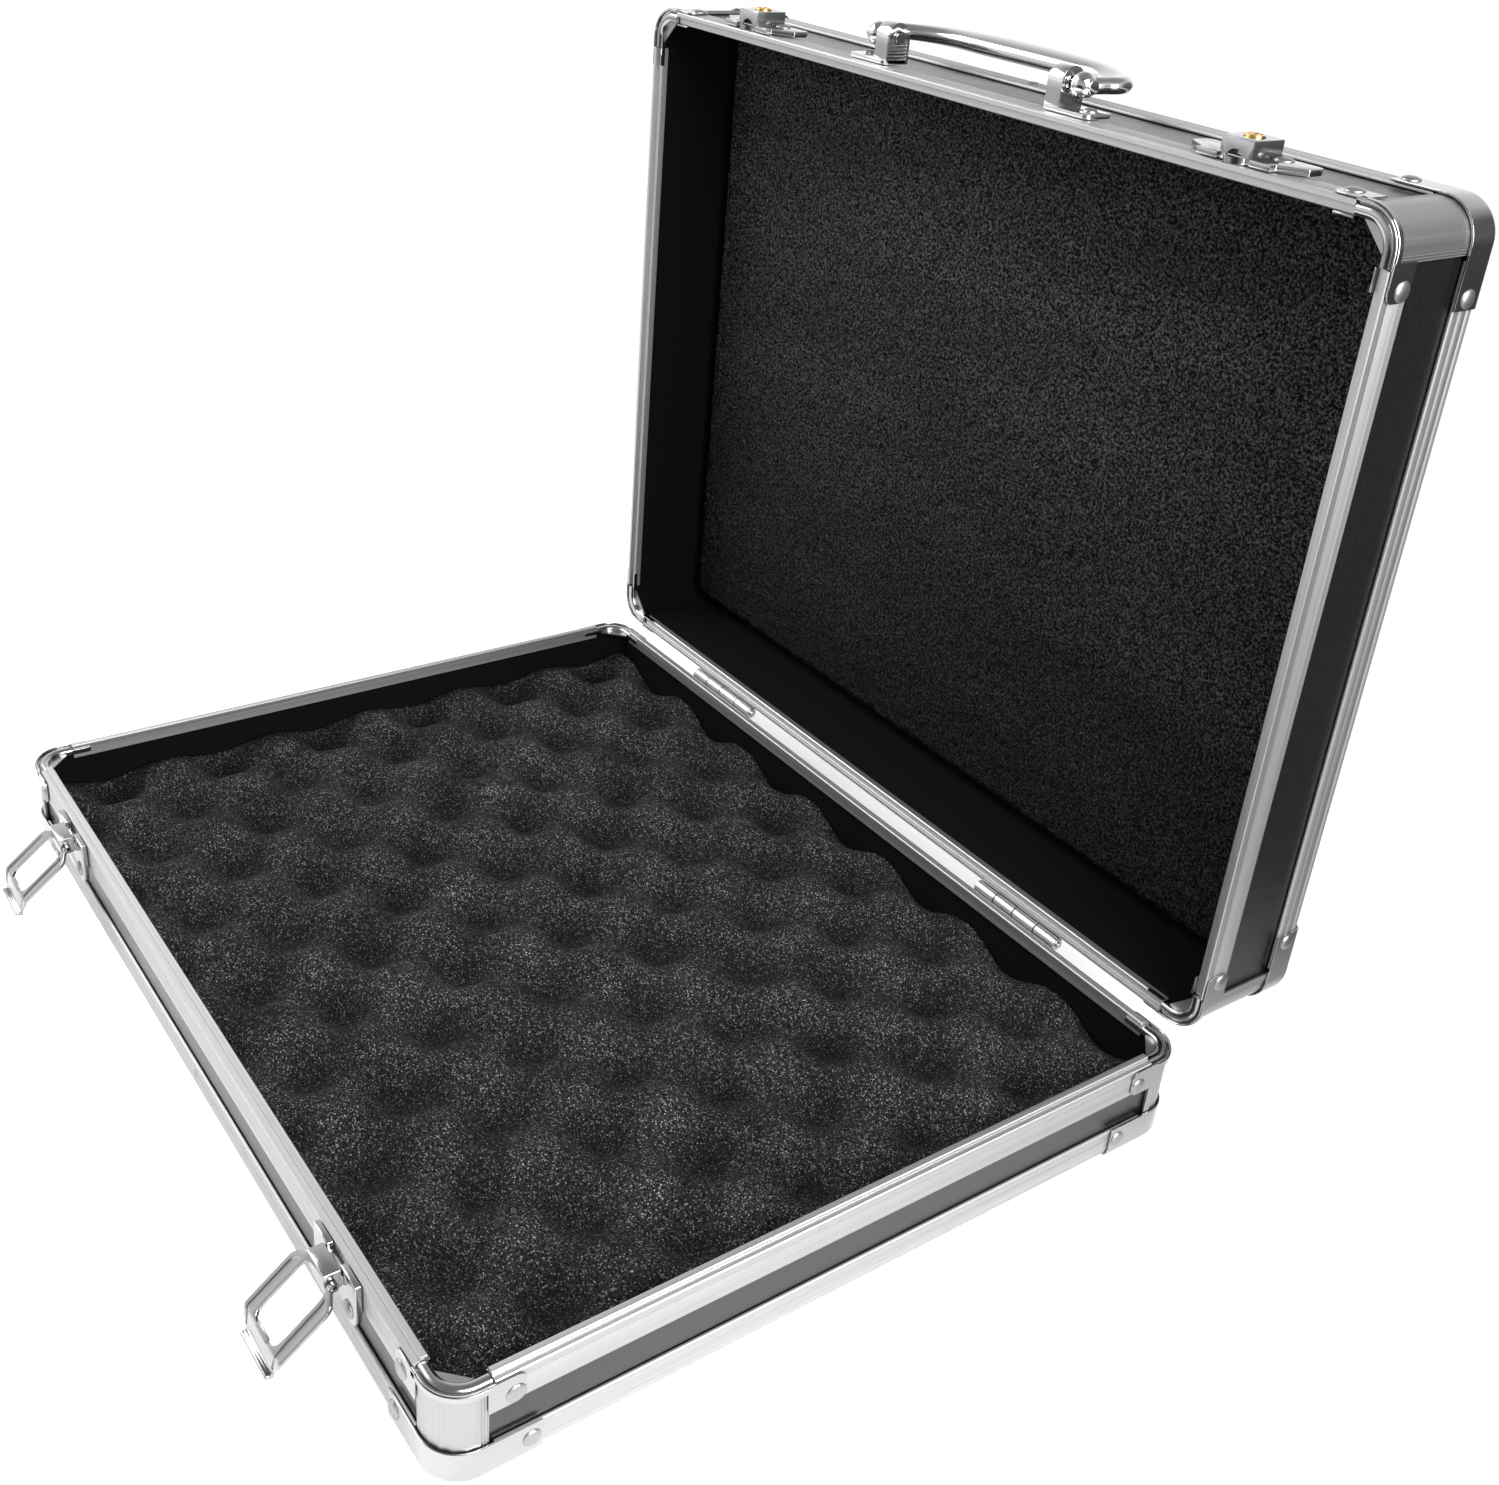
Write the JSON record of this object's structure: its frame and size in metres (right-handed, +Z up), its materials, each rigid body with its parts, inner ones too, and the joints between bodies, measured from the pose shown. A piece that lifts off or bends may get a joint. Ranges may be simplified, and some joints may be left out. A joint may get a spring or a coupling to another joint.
{
  "type": "aluminium tool case",
  "caption": "Low aluminium-framed carry case, shown open: black panels, hinged lid, draw hasps with key locks, bail handle, foam in base and lid.",
  "frame": {"origin": "middle of the ground that the open case covers, at the underside of its corner caps", "axes": "+X along the hinge line, longest way; -Y towards the hasps on the front; +Z up"},
  "size_m": [0.3542, 0.3388, 0.3155],
  "materials": {
    "satin_aluminium": "satin anodised extrusion, fine lengthwise draw lines",
    "brushed_post": "matt brushed extrusion",
    "nickel_plate": "bright nickel on pressed steel",
    "chrome_plate": "polished chrome",
    "brass_plug": "bare turned brass",
    "black_panel": "black film on board with a fine grain, black lining inside",
    "egg_crate_foam": "open-cell foam cut to egg-crate waves",
    "flat_foam": "open-cell foam sheet with coarse pores"
  },
  "bodies": {
    "base": {"base_shell": "black_panel", "base_rim_rail_front": "satin_aluminium", "base_rim_rail_back": "satin_aluminium", "base_rim_rail_left": "satin_aluminium", "base_rim_rail_right": "satin_aluminium", "base_edge_rail_front": "satin_aluminium", "base_edge_rail_back": "satin_aluminium", "base_edge_rail_left": "satin_aluminium", "base_edge_rail_right": "satin_aluminium", "base_corner_post_front_left": "brushed_post", "base_corner_post_front_right": "brushed_post", "base_corner_post_back_right": "brushed_post", "base_corner_post_back_left": "brushed_post", "base_rim_corner_front_left": "nickel_plate", "base_rim_corner_front_right": "nickel_plate", "base_rim_corner_back_right": "nickel_plate", "base_rim_corner_back_left": "nickel_plate", "base_edge_corner_front_left": "nickel_plate", "base_edge_corner_front_right": "nickel_plate", "base_edge_corner_back_right": "nickel_plate", "base_edge_corner_back_left": "nickel_plate", "base_foam": "egg_crate_foam", "hinge_base_leaf_left": "chrome_plate", "hinge_base_leaf_right": "chrome_plate", "hasp_plate_left": "chrome_plate", "hasp_plate_right": "chrome_plate"},
    "lid": {"lid_shell": "black_panel", "lid_rim_rail_front": "satin_aluminium", "lid_rim_rail_back": "satin_aluminium", "lid_rim_rail_left": "satin_aluminium", "lid_rim_rail_right": "satin_aluminium", "lid_edge_rail_front": "satin_aluminium", "lid_edge_rail_back": "satin_aluminium", "lid_edge_rail_left": "satin_aluminium", "lid_edge_rail_right": "satin_aluminium", "lid_corner_post_front_left": "brushed_post", "lid_corner_post_front_right": "brushed_post", "lid_corner_post_back_right": "brushed_post", "lid_corner_post_back_left": "brushed_post", "lid_rim_corner_front_left": "nickel_plate", "lid_rim_corner_front_right": "nickel_plate", "lid_rim_corner_back_right": "nickel_plate", "lid_rim_corner_back_left": "nickel_plate", "lid_edge_corner_front_left": "nickel_plate", "lid_edge_corner_front_right": "nickel_plate", "lid_edge_corner_back_right": "nickel_plate", "lid_edge_corner_back_left": "nickel_plate", "lid_foam": "flat_foam", "hinge_lid_leaf_left": "chrome_plate", "hinge_lid_leaf_right": "chrome_plate", "lock_box_left": "chrome_plate", "lock_box_right": "chrome_plate", "handle_bracket_left": "chrome_plate", "handle_bracket_right": "chrome_plate"},
    "hasp_loop_left": {"hasp_loop_left": "chrome_plate"},
    "hasp_loop_right": {"hasp_loop_right": "chrome_plate"},
    "handle": {"handle": "chrome_plate"},
    "key_left": {"key_plug_left": "brass_plug"},
    "key_right": {"key_plug_right": "brass_plug"}
  },
  "joints": [
    {"name": "lid_hinge", "type": "hinge", "parent": "base", "child": "lid", "pos_m": [0, 0.12422, 0.034], "axis": [1, 0, 0], "range_deg": [0, 90]},
    {"name": "hasp_swing_left", "type": "hinge", "parent": "base", "child": "hasp_loop_left", "pos_m": [-0.1167, -0.14888, 0.0295], "axis": [-1, 0, 0], "range_deg": [0, 129]},
    {"name": "hasp_swing_right", "type": "hinge", "parent": "base", "child": "hasp_loop_right", "pos_m": [0.1167, -0.14888, 0.0295], "axis": [-1, 0, 0], "range_deg": [0, 129]},
    {"name": "handle_swing", "type": "hinge", "parent": "lid", "child": "handle", "pos_m": [0, 0.13472, 0.3105], "axis": [1, 0, 0], "range_deg": [0, 170]},
    {"name": "key_turn_left", "type": "hinge", "parent": "lid", "child": "key_left", "pos_m": [-0.1167, 0.13422, 0.3086], "axis": [0, 0, 1], "range_deg": [0, 90]},
    {"name": "key_turn_right", "type": "hinge", "parent": "lid", "child": "key_right", "pos_m": [0.1167, 0.13422, 0.3086], "axis": [0, 0, 1], "range_deg": [0, 90]}
  ]
}
